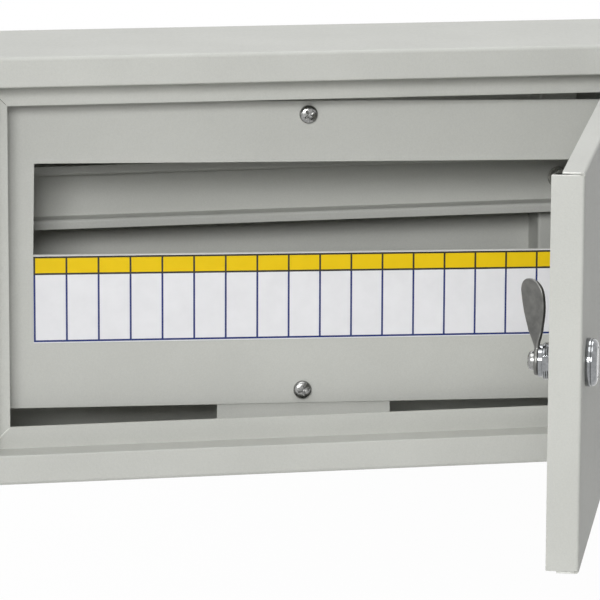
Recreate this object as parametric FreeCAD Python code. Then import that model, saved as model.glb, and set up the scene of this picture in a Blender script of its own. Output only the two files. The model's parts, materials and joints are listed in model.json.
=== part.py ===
"""Steel wall enclosure for one row of modular devices, with its door open as at rest.

The origin is the centre of the wall-hole pattern, on the outer face of the back panel.
+X runs to the right as seen from the front, +Y into the wall and +Z up. Sizes are in millimetres.
"""

import FreeCAD, Part
import math
import os

from FreeCAD import Rotation, Vector

os.makedirs("parts", exist_ok=True)

# Case: one folded shell with a rim, a door recess and a flange round the opening
case_width = 386.0
case_height = 230.0
case_depth = 123.0
case_sheet = 1.0
case_bend = 2.0
rim_width = 16.2
rim_edge = 0.9
recess_depth = 17.5
flange_width = 11.85

# Back panel: a shallow pan welded inside the shell's rear edge
pan_sheet = 1.0
pan_flange = 9.0
pan_notch = 4.0
wall_hole_pitch_x = 260.0
wall_hole_pitch_z = 160.0
wall_hole_radius = 3.25

# Cable knock-outs in the bottom wall, each held by bridges
knockout_radius = 14.0
knockout_slot = 0.6
knockout_bridge = 3.0
knockout_bridges = 3
knockout_pitch = 150.0
knockout_count = 2
knockout_from_back = 55.0

# Door: a folded tray that hangs on two pins
door_sheet = 1.0
door_side_gap = 2.3
door_end_gap = 3.7
door_free_flange = 15.6
door_edge_flange = 10.6
door_corner_slit = 0.5
door_open_angle = 70.2
bend_inside = 0.5

# Hinge pins and the spacers that fill the gap above and below the door
hinge_inset_x = 5.5
hinge_inset_y = 4.65
pin_radius = 2.5
pin_wall_fit = 0.03
pin_running = 0.05
pin_head_radius = 3.5
pin_head_height = 1.5
pin_head_gap = 0.3
rivet_radius = 3.5
rivet_height = 0.9
spacer_radius = 4.5
spacer_gap = 0.1

# Fascia: the inner cover with the window for the devices, fixed slightly askew
fascia_setback = 34.1
fascia_sheet = 1.0
fascia_side_margin = 24.0
fascia_height = 167.1
fascia_return = 10.0
fascia_lean = 1.07
fascia_off_x = 0.3
fascia_off_z = 0.3
window_height = 49.6
window_bottom = 0.65
window_side_margin = 1.0

# Label strip under the window: one cell for each module
module_pitch = 17.5
module_count = 17
label_height = 47.8
label_film = 0.25
label_below_window = 0.6
label_side_edge = 0.3

# Fascia screws, the brackets that they screw into and their weld nuts
fascia_screw_from_edge = 7.35
fascia_screw_radius = 2.5
screw_hole_clearance = 0.25
screw_head_radius = 5.0
screw_head_height = 3.3
screw_length = 12.0
cross_length = 5.2
cross_width = 1.0
cross_depth = 1.8
thread_clearance = 0.04
bracket_width = 97.0
bracket_sheet = 1.2
bracket_reach = 12.0
bracket_foot = 12.0
weld_nut_width = 9.0
weld_nut_height = 4.0

# Mounting rail of hat section, on two channel brackets
rail_height = 35.0
rail_hat_width = 27.0
rail_depth = 15.0
rail_sheet = 1.2
rail_past_bolt = 8.0
rail_centre_z = 26.9
rail_lean = -0.35
rail_bracket_depth = 21.0
rail_bracket_width = 22.0
rail_bracket_height = 110.0
rail_bracket_sheet = 1.2
rail_bracket_from_side = 31.0
rail_stud_radius = 3.0
rail_stud_past_nut = 2.0
stud_head_radius = 5.0
stud_head_height = 1.5
m6_washer_radius = 6.2
m6_washer_thickness = 1.6
m6_nut_width = 10.0
m6_nut_height = 5.0

# Earth bar behind the lower half of the fascia
bar_length = 78.0
bar_section = 9.0
bar_centre_x = -66.0
bar_z = -62.0
bar_standoff = 24.0
bar_post_radius = 4.5
bar_way_count = 3
bar_way_pitch = 16.0
bar_way_radius = 2.4
clamp_screw_radius = 2.2
clamp_screw_proud = 1.6
clamp_screw_slot = 0.8
clamp_screw_web = 0.1
bar_screw_radius = 2.0
bar_screw_head = 3.6
bar_screw_head_height = 2.4
bar_screw_depth = 8.0
bar_screw_from_end = 6.0

# Earth stud on the back panel
earth_stud_from_side = 27.0
earth_stud_from_top = 16.0
earth_stud_length = 22.0

# Cam lock in the door
lock_from_free_edge = 29.0
lock_z = 0.8
lock_bezel_radius = 11.5
lock_bezel_height = 5.6
lock_bezel_skirt = 1.4
lock_face_radius = 8.4
lock_dish_depth = 1.2
lock_dish_gap = 0.4
lock_barrel_radius = 8.8
lock_barrel_flats = 15.6
lock_barrel_length = 20.4
lock_hole_clearance = 0.15
lock_washer_radius = 11.0
lock_washer_thickness = 0.8
lock_nut_width = 22.0
lock_nut_height = 3.5
core_radius = 5.6
core_running = 0.05
core_head_radius = 7.2
core_head_height = 1.0
core_head_gap = 0.1
core_tang = 6.0
stop_ring_radius = 7.7
stop_ring_thickness = 1.8
stop_ring_gap = 0.1
key_slot_width = 1.6
key_slot_length = 7.0
key_slot_depth = 3.0

# Cam lever: a stamped tongue, flat at its hub and twisted along its neck
lever_sheet = 2.2
lever_hub_radius = 7.0
lever_tang_clearance = 0.08
tang_short = 0.1
lever_length = 39.2
lever_widest_at = 32.0
lever_neck_at = 5.8
lever_neck_width = 7.0
lever_blade_width = 14.5
lever_twist = 50.0
lever_twist_end = 13.5
lever_lean = 0.07
lever_cheek = 0.82
lever_cheek_at = 23.5
lever_shoulder = 0.74
lever_shoulder_at = 37.2
neck_steps = 3
cam_screw_radius = 2.0
cam_screw_head_radius = 4.6
cam_screw_head_height = 3.4
cam_screw_depth = 7.0

# Planes and centres that follow from the sizes above
front_y = -case_depth
flange_y = front_y + recess_depth
recess_half_width = case_width / 2 - rim_width
recess_half_height = case_height / 2 - rim_width
inside_half_width = case_width / 2 - case_sheet
inside_half_height = case_height / 2 - case_sheet
panel_y = -pan_sheet
fascia_y = front_y + fascia_setback
fascia_back_y = fascia_y + fascia_sheet
rail_back_y = panel_y - rail_bracket_depth
door_half_width = recess_half_width - door_side_gap
door_half_height = recess_half_height - door_end_gap
hinge_x = door_half_width - hinge_inset_x
hinge_y = front_y + hinge_inset_y
lock_x = -door_half_width + lock_from_free_edge
window_top = window_bottom + window_height
window_half_width = module_pitch * module_count / 2 + window_side_margin
fascia_half_width = inside_half_width - fascia_side_margin
fascia_screw_z = fascia_height / 2 - fascia_screw_from_edge
rail_bracket_x = inside_half_width - rail_bracket_from_side
rail_half_length = rail_bracket_x + rail_past_bolt
earth_stud_x = earth_stud_from_side - inside_half_width
earth_stud_z = inside_half_height - earth_stud_from_top
core_end_y = front_y + lock_barrel_length + stop_ring_gap
lever_seat_y = core_end_y + stop_ring_thickness


def unit(vector):
    """The vector at length one, with the vector itself unchanged."""
    return vector * (1.0 / vector.Length)


def block(x0, x1, y0, y1, z0, z1):
    """A box between two corners."""
    return Part.makeBox(x1 - x0, y1 - y0, z1 - z0, Vector(x0, y0, z0))


def centred_block(half_width, y0, y1, half_height):
    """A box that is centred on the Y axis."""
    return block(-half_width, half_width, y0, y1, -half_height, half_height)


def rod_y(x, z, radius, y0, y1):
    """A cylinder along Y."""
    return Part.makeCylinder(radius, y1 - y0, Vector(x, y0, z), Vector(0, 1, 0))


def rod_z(x, y, radius, z0, z1):
    """A cylinder along Z."""
    return Part.makeCylinder(radius, z1 - z0, Vector(x, y, z0), Vector(0, 0, 1))


def hex_y(x, z, width, y0, y1):
    """A hexagonal prism along Y, with its width across flats."""
    corner = width / math.sqrt(3)
    points = []
    for step in range(7):
        angle = math.radians(60 * step)
        points.append(Vector(x + corner * math.cos(angle), y0, z + corner * math.sin(angle)))
    return Part.Face(Part.makePolygon(points)).extrude(Vector(0, y1 - y0, 0))


def turned_y(x, z, profile):
    """A solid of revolution about a line along Y, from points of radius and Y."""
    points = [Vector(x + radius, y, z) for radius, y in profile]
    face = Part.Face(Part.makePolygon(points + [points[0]]))
    return face.revolve(Vector(x, 0, z), Vector(0, 1, 0), 360)


def turned_z(x, y, profile):
    """A solid of revolution about a line along Z, from points of radius and Z."""
    points = [Vector(x + radius, y, z) for radius, z in profile]
    face = Part.Face(Part.makePolygon(points + [points[0]]))
    return face.revolve(Vector(x, y, 0), Vector(0, 0, 1), 360)


def rounded(shape, radius, wanted):
    """Fillet each edge for which wanted, given the box of the edge, says yes."""
    edges = [edge for edge in shape.Edges if wanted(edge.BoundBox)]
    return shape.makeFillet(radius, edges)


def runs_along_y(box):
    """Whether an edge lies along Y."""
    return box.YLength > 1 and box.XLength < 0.01 and box.ZLength < 0.01


def offset_line(points, distance):
    """The open outline in the XY plane, moved to its left by a distance."""
    normals = []
    for start, end in zip(points, points[1:]):
        along = unit(end - start)
        normals.append(Vector(-along.y, along.x, 0))
    moved = [points[0] + normals[0] * distance]
    for before, corner, after in zip(normals, points[1:], normals[1:]):
        both = before + after
        moved.append(corner + both * (2 * distance / both.dot(both)))
    moved.append(points[-1] + normals[-1] * distance)
    return moved


def bent_line(points, radii):
    """Edges that follow the points, with each inner corner rounded by its radius."""
    edges = []
    here = points[0]
    for before, corner, after, radius in zip(points, points[1:], points[2:], radii):
        back = unit(before - corner)
        ahead = unit(after - corner)
        half = back.getAngle(ahead) / 2
        start = corner + back * (radius / math.tan(half))
        end = corner + ahead * (radius / math.tan(half))
        inward = unit(back + ahead)
        middle = corner + inward * (radius / math.sin(half) - radius)
        edges.append(Part.makeLine(here, start))
        edges.append(Part.Arc(start, middle, end).toShape())
        here = end
    edges.append(Part.makeLine(here, points[-1]))
    return edges


def folded_sheet(outline, thickness, low, high):
    """Sheet that follows an outline of X and Y, thick to its left, from low to high in Z."""
    side = [Vector(x, y, low) for x, y in outline]
    other = offset_line(side, thickness)
    near_radii = []
    far_radii = []
    for before, corner, after in zip(side, side[1:], side[2:]):
        turns_left = (corner - before).cross(after - corner).z > 0
        near_radii.append(bend_inside + thickness if turns_left else bend_inside)
        far_radii.append(bend_inside if turns_left else bend_inside + thickness)
    edges = bent_line(side, near_radii)
    edges.append(Part.makeLine(side[-1], other[-1]))
    edges += bent_line(other[::-1], far_radii[::-1])
    edges.append(Part.makeLine(other[0], side[0]))
    return Part.Face(Part.Wire(edges)).extrude(Vector(0, 0, high - low))


def folded_along_x(outline, thickness, low, high):
    """Sheet that follows an outline of Y and Z, thick to its left, from low to high in X."""
    sheet = folded_sheet(outline, thickness, low, high)
    sheet.rotate(Vector(0, 0, 0), Vector(1, 1, 1), 120)
    return sheet


def turned_about_y(x, z, angle, centre_z):
    """Where a point of X and Z goes when it turns about a line along Y at X zero."""
    moved = Rotation(Vector(0, 1, 0), angle).multVec(Vector(x, 0, z - centre_z))
    return moved.x, moved.z + centre_z


def leaned(shape):
    """A piece of the fascia, turned and shifted as the fascia is."""
    shape.rotate(Vector(0, 0, 0), Vector(0, 1, 0), fascia_lean)
    shape.translate(Vector(fascia_off_x, 0, fascia_off_z))
    return shape


def opened(shape):
    """A piece of the closed door, swung about the hinge to the open position."""
    shape.rotate(Vector(hinge_x, hinge_y, 0), Vector(0, 0, 1), door_open_angle)
    return shape


def cross_recess(x, z, y):
    """The cross-shaped driver recess of a screw head whose top is at y."""
    half = cross_length / 2
    arm = cross_width / 2
    across = block(x - half, x + half, y, y + cross_depth, z - arm, z + arm)
    upright = block(x - arm, x + arm, y, y + cross_depth, z - half, z + half)
    return across.fuse(upright)


def pan_screw(x, z, seat_y, shank_radius, head_radius, head_height, length):
    """A pan-head screw whose head stands in front of seat_y and whose shank points to +Y."""
    return turned_y(x, z, [
        (0, seat_y - head_height),
        (head_radius * 0.6, seat_y - head_height),
        (head_radius * 0.9, seat_y - head_height * 0.62),
        (head_radius, seat_y - head_height * 0.2),
        (head_radius, seat_y),
        (shank_radius, seat_y),
        (shank_radius, seat_y + length),
        (0, seat_y + length),
    ])


def knockout_slots():
    """The broken rings that outline the knock-outs in the bottom wall."""
    bottom = -case_height / 2
    slots = []
    for place in range(knockout_count):
        x = (place - (knockout_count - 1) / 2) * knockout_pitch
        y = -knockout_from_back
        outer = rod_z(x, y, knockout_radius + knockout_slot, bottom - case_sheet, bottom + 2 * case_sheet)
        inner = rod_z(x, y, knockout_radius, bottom - case_sheet, bottom + 2 * case_sheet)
        ring = outer.cut(inner)
        for step in range(knockout_bridges):
            reach = knockout_radius + 2
            bridge = block(x, x + reach, y - knockout_bridge / 2, y + knockout_bridge / 2,
                           bottom - case_sheet, bottom + 2 * case_sheet)
            bridge.rotate(Vector(x, y, 0), Vector(0, 0, 1), 360 * step / knockout_bridges + 90)
            ring = ring.cut(bridge)
        slots.append(ring)
    return slots


def bent_front(half_width, half_height, near_y, radius):
    """A box open to the back whose front edges are bent to a radius and mitred at its corners."""
    tall = centred_block(half_width, near_y, 1, half_height)
    tall = rounded(tall, radius, lambda box: box.YMax < near_y + 0.01 and box.ZLength > 1)
    wide = centred_block(half_width, near_y, 1, half_height)
    wide = rounded(wide, radius, lambda box: box.YMax < near_y + 0.01 and box.XLength > 1)
    return tall.common(wide)


def case_shell():
    """The folded case: walls, front rim, stepped door recess and the flange round the opening."""
    outer = rounded(centred_block(case_width / 2, front_y, 0, case_height / 2), case_bend, runs_along_y)
    outer = outer.common(bent_front(case_width / 2, case_height / 2, front_y, case_bend))
    inner = bent_front(inside_half_width, inside_half_height, front_y + case_sheet, case_bend - case_sheet)
    shell = outer.cut(inner)

    step = centred_block(recess_half_width + case_sheet, front_y + case_sheet / 2,
                         flange_y + case_sheet, recess_half_height + case_sheet)
    recess = centred_block(recess_half_width, front_y - 1, flange_y, recess_half_height)
    opening = centred_block(recess_half_width - flange_width, front_y, 0,
                            recess_half_height - flange_width)
    shell = shell.fuse(step).cut(recess).cut(opening).removeSplitter()

    def is_recess_mouth(box):
        return abs(box.YMax - front_y) < 0.01 and box.XMax < recess_half_width + 0.1 \
            and box.XMin > -recess_half_width - 0.1 and abs(box.ZMax) < recess_half_height + 0.1 \
            and abs(box.ZMin) < recess_half_height + 0.1

    shell = rounded(shell, rim_edge, is_recess_mouth)
    reach = recess_half_height + 2 * case_sheet
    shell = shell.cut(rod_z(hinge_x, hinge_y, pin_radius + pin_wall_fit, -reach, reach))
    for slot in knockout_slots():
        shell = shell.cut(slot)
    return shell


def back_panel():
    """The back pan, with the wall holes and a folded edge on each side."""
    half_width = inside_half_width
    half_height = inside_half_height
    across = folded_sheet([(half_width, -pan_flange), (half_width, 0), (-half_width, 0), (-half_width, -pan_flange)],
                          pan_sheet, -half_height + pan_notch, half_height - pan_notch)
    upright = folded_along_x([(-pan_flange, -half_height), (0, -half_height), (0, half_height),
                              (-pan_flange, half_height)],
                             pan_sheet, -half_width + pan_notch, half_width - pan_notch)
    pan = across.fuse(upright).removeSplitter()
    for x in (-wall_hole_pitch_x / 2, wall_hole_pitch_x / 2):
        for z in (-wall_hole_pitch_z / 2, wall_hole_pitch_z / 2):
            pan = pan.cut(rod_y(x, z, wall_hole_radius, -2 * pan_sheet, pan_sheet))
    return pan


def door_panel():
    """The door tray: a face with four folded edges, the free one deeper and slit at its ends."""
    free_y = front_y + door_free_flange
    edge_y = front_y + door_edge_flange
    side_height = door_half_height - door_sheet - door_corner_slit
    across = folded_sheet([(-door_half_width, free_y), (-door_half_width, front_y), (door_half_width, front_y),
                           (door_half_width, edge_y)], door_sheet, -side_height, side_height)
    relief = bend_inside + door_sheet
    upright = folded_along_x([(edge_y, door_half_height), (front_y, door_half_height),
                              (front_y, -door_half_height), (edge_y, -door_half_height)],
                             door_sheet, -door_half_width + relief, door_half_width - relief)
    door = across.fuse(upright).removeSplitter()
    door = door.cut(rod_z(hinge_x, hinge_y, pin_radius + pin_running, -door_half_height - 1, door_half_height + 1))
    hole = rod_y(lock_x, lock_z, lock_barrel_radius + lock_hole_clearance, front_y - 1, front_y + 2 * door_sheet)
    flats = lock_barrel_flats / 2 + lock_hole_clearance
    reach = lock_barrel_radius + 1
    hole = hole.common(block(lock_x - flats, lock_x + flats, front_y - 2, front_y + 3,
                             lock_z - reach, lock_z + reach))
    return opened(door.cut(hole))


def upper_hinge_pin():
    """A pin through the recess wall, riveted outside it and headed inside the door's upper edge."""
    head_top = door_half_height - door_sheet - pin_head_gap
    wall_top = recess_half_height + case_sheet
    return turned_z(hinge_x, hinge_y, [
        (0, head_top - pin_head_height),
        (pin_head_radius, head_top - pin_head_height),
        (pin_head_radius, head_top),
        (pin_radius, head_top),
        (pin_radius, wall_top),
        (rivet_radius, wall_top),
        (rivet_radius, wall_top + rivet_height),
        (0, wall_top + rivet_height),
    ])


def upper_hinge_spacer():
    """The washer on the upper pin, between the door and the recess wall."""
    low = door_half_height + spacer_gap
    high = recess_half_height - spacer_gap
    return rod_z(hinge_x, hinge_y, spacer_radius, low, high).cut(
        rod_z(hinge_x, hinge_y, pin_radius + pin_running, low - 1, high + 1))


def mirrored_down(shape):
    """The same piece at the bottom of the case."""
    return shape.mirror(Vector(0, 0, 0), Vector(0, 0, 1))


def fascia_screw_places():
    """Where the two fascia screws are, in X and Z, on the leaning fascia."""
    places = [turned_about_y(0, z, fascia_lean, 0) for z in (fascia_screw_z, -fascia_screw_z)]
    return [(x + fascia_off_x, z + fascia_off_z) for x, z in places]


def fascia_panel():
    """The inner cover, with side returns, the device window and two screw holes."""
    half = fascia_half_width
    panel = folded_sheet([(-half, fascia_y + fascia_return), (-half, fascia_y), (half, fascia_y),
                          (half, fascia_y + fascia_return)],
                         fascia_sheet, -fascia_height / 2, fascia_height / 2)
    window = block(-window_half_width, window_half_width, fascia_y - 1, fascia_back_y + 1, window_bottom, window_top)
    panel = panel.cut(window)
    for z in (fascia_screw_z, -fascia_screw_z):
        panel = panel.cut(rod_y(0, z, fascia_screw_radius + screw_hole_clearance, fascia_y - 1, fascia_back_y + 1))
    return leaned(panel)


def label_strip():
    """The film label on the fascia, just under the window."""
    top = window_bottom - label_below_window
    half = module_pitch * module_count / 2 + label_side_edge
    return leaned(block(-half, half, fascia_y - label_film, fascia_y, top - label_height, top))


def fascia_screws():
    """Two pan-head cross-recess screws."""
    screws = []
    for x, z in fascia_screw_places():
        screw = pan_screw(x, z, fascia_y, fascia_screw_radius, screw_head_radius, screw_head_height, screw_length)
        screws.append(screw.cut(cross_recess(x, z, fascia_y - screw_head_height)))
    return Part.makeCompound(screws)


def upper_fascia_bracket():
    """An angle welded to the top wall, with its tab behind the fascia."""
    x, z = fascia_screw_places()[0]
    tab_end = z - bracket_reach
    angle = folded_along_x([(fascia_back_y + bracket_foot, inside_half_height), (fascia_back_y, inside_half_height),
                            (fascia_back_y, tab_end)],
                           bracket_sheet, -bracket_width / 2, bracket_width / 2)
    return angle.cut(rod_y(x, z, fascia_screw_radius + screw_hole_clearance, fascia_back_y - 1,
                           fascia_back_y + bracket_sheet + 1))


def lower_fascia_bracket():
    """An angle welded to the bottom wall, with its tab behind the fascia."""
    x, z = fascia_screw_places()[1]
    tab_end = z + bracket_reach
    angle = folded_along_x([(fascia_back_y, tab_end), (fascia_back_y, -inside_half_height),
                            (fascia_back_y + bracket_foot, -inside_half_height)],
                           bracket_sheet, -bracket_width / 2, bracket_width / 2)
    return angle.cut(rod_y(x, z, fascia_screw_radius + screw_hole_clearance, fascia_back_y - 1,
                           fascia_back_y + bracket_sheet + 1))


def fascia_weld_nuts():
    """Square nuts welded behind the two brackets."""
    seat = fascia_back_y + bracket_sheet
    half = weld_nut_width / 2
    nuts = []
    for x, z in fascia_screw_places():
        nut = block(x - half, x + half, seat, seat + weld_nut_height, z - half, z + half)
        nuts.append(nut.cut(rod_y(x, z, fascia_screw_radius + thread_clearance, seat - 1, seat + weld_nut_height + 1)))
    return Part.makeCompound(nuts)


def rail_stud_place(side):
    """Where the stud on the left (-1) or right (1) bracket meets the leaning rail."""
    return turned_about_y(side * rail_bracket_x, rail_centre_z, rail_lean, rail_centre_z)


def din_rail():
    """The hat-section rail, with one bolt hole near each end."""
    brim_back = rail_back_y - rail_depth + rail_sheet
    brim = rail_height / 2
    hat = rail_hat_width / 2
    rail = folded_along_x([
        (brim_back, rail_centre_z - brim),
        (brim_back, rail_centre_z - hat),
        (rail_back_y, rail_centre_z - hat),
        (rail_back_y, rail_centre_z + hat),
        (brim_back, rail_centre_z + hat),
        (brim_back, rail_centre_z + brim),
    ], rail_sheet, -rail_half_length, rail_half_length)
    for side in (-1, 1):
        rail = rail.cut(rod_y(side * rail_bracket_x, rail_centre_z, rail_stud_radius + screw_hole_clearance,
                              rail_back_y - rail_sheet - 1, rail_back_y + 1))
    rail.rotate(Vector(0, 0, rail_centre_z), Vector(0, 1, 0), rail_lean)
    return rail


def rail_bracket(side):
    """A channel that stands on the back panel and carries one end of the rail."""
    x, z = rail_stud_place(side)
    half = rail_bracket_width / 2
    middle = side * rail_bracket_x
    channel = folded_sheet([(middle - half, panel_y), (middle - half, rail_back_y), (middle + half, rail_back_y),
                            (middle + half, panel_y)], rail_bracket_sheet,
                           rail_centre_z - rail_bracket_height / 2, rail_centre_z + rail_bracket_height / 2)
    return channel.cut(rod_y(x, z, rail_stud_radius + thread_clearance, rail_back_y - 1,
                             rail_back_y + rail_bracket_sheet + 1))


def rail_studs():
    """The studs pressed into the two brackets, with their heads inside the channels."""
    inside = rail_back_y + rail_bracket_sheet
    reach = rail_back_y - rail_sheet - m6_washer_thickness - m6_nut_height - rail_stud_past_nut
    studs = []
    for side in (-1, 1):
        x, z = rail_stud_place(side)
        shank = rod_y(x, z, rail_stud_radius, reach, inside)
        studs.append(shank.fuse(rod_y(x, z, stud_head_radius, inside, inside + stud_head_height)))
    return Part.makeCompound([stud.removeSplitter() for stud in studs])


def m6_washer(x, z, seat_y):
    """A plain washer in front of seat_y."""
    return rod_y(x, z, m6_washer_radius, seat_y - m6_washer_thickness, seat_y).cut(
        rod_y(x, z, rail_stud_radius + screw_hole_clearance, seat_y - 2 * m6_washer_thickness, seat_y + 1))


def m6_nut(x, z, seat_y):
    """A hexagon nut in front of seat_y."""
    return hex_y(x, z, m6_nut_width, seat_y - m6_nut_height, seat_y).cut(
        rod_y(x, z, rail_stud_radius + thread_clearance, seat_y - m6_nut_height - 1, seat_y + 1))


def rail_washers():
    """The washers under the two rail nuts."""
    seat = rail_back_y - rail_sheet
    return Part.makeCompound([m6_washer(*rail_stud_place(side), seat) for side in (-1, 1)])


def rail_nuts():
    """The nuts that hold the rail on its studs."""
    seat = rail_back_y - rail_sheet - m6_washer_thickness
    return Part.makeCompound([m6_nut(*rail_stud_place(side), seat) for side in (-1, 1)])


def bar_front_y():
    """The front face of the bar."""
    return panel_y - bar_standoff - bar_section


def bar_ways():
    """The X of each cable way of the bar."""
    return [bar_centre_x + (way - (bar_way_count - 1) / 2) * bar_way_pitch for way in range(bar_way_count)]


def bar_ends():
    """The X of the two fixing screws of the bar."""
    reach = bar_length / 2 - bar_screw_from_end
    return [bar_centre_x - reach, bar_centre_x + reach]


def clamp_end_y():
    """Where the clamp screws end, just short of the cable ways."""
    return bar_front_y() + bar_section / 2 - bar_way_radius - clamp_screw_web


def earth_bar():
    """A brass bar with cable ways along Z, and clamp and fixing holes along Y."""
    front = bar_front_y()
    half = bar_section / 2
    bar = block(bar_centre_x - bar_length / 2, bar_centre_x + bar_length / 2, front, front + bar_section,
                bar_z - half, bar_z + half)
    for x in bar_ways():
        bar = bar.cut(rod_z(x, front + half, bar_way_radius, bar_z - half - 1, bar_z + half + 1))
        bar = bar.cut(rod_y(x, bar_z, clamp_screw_radius + thread_clearance, front - 1, clamp_end_y()))
    for x in bar_ends():
        bar = bar.cut(rod_y(x, bar_z, bar_screw_radius + thread_clearance, front - 1, front + bar_section + 1))
    return bar


def bar_clamp_screws():
    """The slotted clamp screws of the bar."""
    head = bar_front_y() - clamp_screw_proud
    slot = clamp_screw_slot / 2
    reach = clamp_screw_radius + 1
    screws = []
    for x in bar_ways():
        screw = rod_y(x, bar_z, clamp_screw_radius, head, clamp_end_y())
        screws.append(screw.cut(block(x - reach, x + reach, head - 1, head + clamp_screw_slot,
                                      bar_z - slot, bar_z + slot)))
    return Part.makeCompound(screws)


def bar_fixing_screws():
    """The two screws that hold the bar on its posts."""
    seat = bar_front_y()
    screws = []
    for x in bar_ends():
        head = rod_y(x, bar_z, bar_screw_head, seat - bar_screw_head_height, seat)
        shank = rod_y(x, bar_z, bar_screw_radius, seat, seat + bar_section + bar_screw_depth)
        screws.append(head.fuse(shank).removeSplitter())
    return Part.makeCompound(screws)


def earth_bar_posts():
    """The hexagonal steel posts between the back panel and the bar, each tapped for its screw."""
    seat = bar_front_y() + bar_section
    posts = []
    for x in bar_ends():
        post = hex_y(x, bar_z, 2 * bar_post_radius, seat, panel_y)
        posts.append(post.cut(rod_y(x, bar_z, bar_screw_radius + thread_clearance, seat - 1,
                                    seat + bar_screw_depth + 1)))
    return Part.makeCompound(posts)


def earth_stud():
    """The stud welded on the back panel for the earth lead."""
    return rod_y(earth_stud_x, earth_stud_z, rail_stud_radius, panel_y - earth_stud_length, panel_y)


def lock_housing():
    """The chromed bezel outside the door and its barrel with two flats, bored for the core."""
    bore = core_radius + core_running
    face_y = front_y - lock_bezel_height
    skirt_y = front_y - lock_bezel_skirt
    dish_y = face_y + lock_dish_depth
    dome = lock_bezel_radius - lock_face_radius
    bezel = turned_y(lock_x, lock_z, [
        (bore, front_y),
        (bore, dish_y),
        (core_head_radius + lock_dish_gap, dish_y),
        (core_head_radius + lock_dish_gap, face_y),
        (lock_face_radius, face_y),
        (lock_face_radius + dome * 0.6, face_y + (skirt_y - face_y) * 0.25),
        (lock_bezel_radius, skirt_y),
        (lock_bezel_radius, front_y),
    ])
    barrel = rod_y(lock_x, lock_z, lock_barrel_radius, front_y, front_y + lock_barrel_length)
    flats = lock_barrel_flats / 2
    reach = lock_barrel_radius + 1
    barrel = barrel.common(block(lock_x - flats, lock_x + flats, front_y, front_y + lock_barrel_length,
                                 lock_z - reach, lock_z + reach))
    barrel = barrel.cut(rod_y(lock_x, lock_z, bore, front_y - 1, front_y + lock_barrel_length + 1))
    return opened(bezel.fuse(barrel).removeSplitter())


def lock_washer():
    """The washer between the door and the lock's nut."""
    seat = front_y + door_sheet
    hole = lock_barrel_radius + lock_hole_clearance
    return opened(rod_y(lock_x, lock_z, lock_washer_radius, seat, seat + lock_washer_thickness).cut(
        rod_y(lock_x, lock_z, hole, seat - 1, seat + lock_washer_thickness + 1)))


def lock_nut():
    """The thin hexagon nut that clamps the lock in the door."""
    seat = front_y + door_sheet + lock_washer_thickness
    nut = hex_y(lock_x, lock_z, lock_nut_width, seat, seat + lock_nut_height)
    nut = nut.common(rod_y(lock_x, lock_z, lock_nut_width * 0.56, seat, seat + lock_nut_height))
    return opened(nut.cut(rod_y(lock_x, lock_z, lock_barrel_radius + thread_clearance, seat - 1,
                                seat + lock_nut_height + 1)))


def lock_core():
    """The turning core: a headed plug with a key slot, a square tang and a tapped end."""
    head_back = front_y - lock_bezel_height + lock_dish_depth - core_head_gap
    lever_back = lever_seat_y + lever_sheet
    core = turned_y(lock_x, lock_z, [
        (0, head_back - core_head_height),
        (core_head_radius - 0.4, head_back - core_head_height),
        (core_head_radius, head_back - core_head_height + 0.4),
        (core_head_radius, head_back),
        (core_radius, head_back),
        (core_radius, core_end_y),
        (0, core_end_y),
    ])
    half = core_tang / 2
    tang = block(lock_x - half, lock_x + half, core_end_y - 1, lever_back - tang_short,
                 lock_z - half, lock_z + half)
    slot = block(lock_x - key_slot_width / 2, lock_x + key_slot_width / 2, head_back - core_head_height,
                 head_back - core_head_height + key_slot_depth, lock_z - key_slot_length / 2,
                 lock_z + key_slot_length / 2)
    tapping = rod_y(lock_x, lock_z, cam_screw_radius + thread_clearance, lever_back - cam_screw_depth - 1,
                    lever_back + 1)
    return opened(core.fuse(tang).removeSplitter().cut(slot).cut(tapping))


def stop_ring():
    """The ring between the barrel and the lever, which turns with the core on its square tang."""
    half = core_tang / 2 + lever_tang_clearance
    ring = rod_y(lock_x, lock_z, stop_ring_radius, core_end_y, lever_seat_y)
    return opened(ring.cut(block(lock_x - half, lock_x + half, core_end_y - 1, lever_seat_y + 1,
                                 lock_z - half, lock_z + half)))


def lever_frame(height):
    """The lever's middle, its direction across and its direction through, at a height above the lock's axis."""
    share = min(max((height - lever_neck_at) / (lever_twist_end - lever_neck_at), 0), 1)
    angle = math.radians(lever_twist * share * share * (3 - 2 * share))
    across = Vector(math.cos(angle), math.sin(angle), 0)
    through = Vector(-math.sin(angle), math.cos(angle), 0)
    away = lever_lean * max(height - lever_neck_at, 0)
    middle = Vector(lock_x, lever_seat_y + lever_sheet / 2 + away, lock_z + height)
    return middle, across, through


def neck_section(share):
    """The rectangular section of the twisted neck, from its foot at 0 to the blade at 1."""
    middle, across, through = lever_frame(lever_neck_at + (lever_twist_end - lever_neck_at) * share)
    across = across * (lever_neck_width / 2)
    through = through * (lever_sheet / 2)
    corners = [middle - across - through, middle + across - through, middle + across + through,
               middle - across + through]
    return Part.makePolygon(corners + [corners[0]])


def lever_blade():
    """The flat spoon-shaped blade: sides that swell from the neck and a round tip."""
    neck = lever_neck_width / 2
    wide = lever_blade_width / 2

    def at(side, height):
        middle, across, through = lever_frame(height)
        return middle + across * side - through * (lever_sheet / 2)

    rising = [(neck, lever_twist_end), (wide * lever_cheek, lever_cheek_at), (wide, lever_widest_at),
              (wide * lever_shoulder, lever_shoulder_at)]
    sides = [at(-side, height) for side, height in rising] + [at(0, lever_length)]
    sides += [at(side, height) for side, height in rising[::-1]]
    curve = Part.BSplineCurve()
    curve.interpolate(sides)
    outline = Part.Wire([curve.toShape(), Part.makeLine(sides[-1], sides[0])])
    return Part.Face(outline).extrude(lever_frame(lever_length)[2] * lever_sheet)


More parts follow.
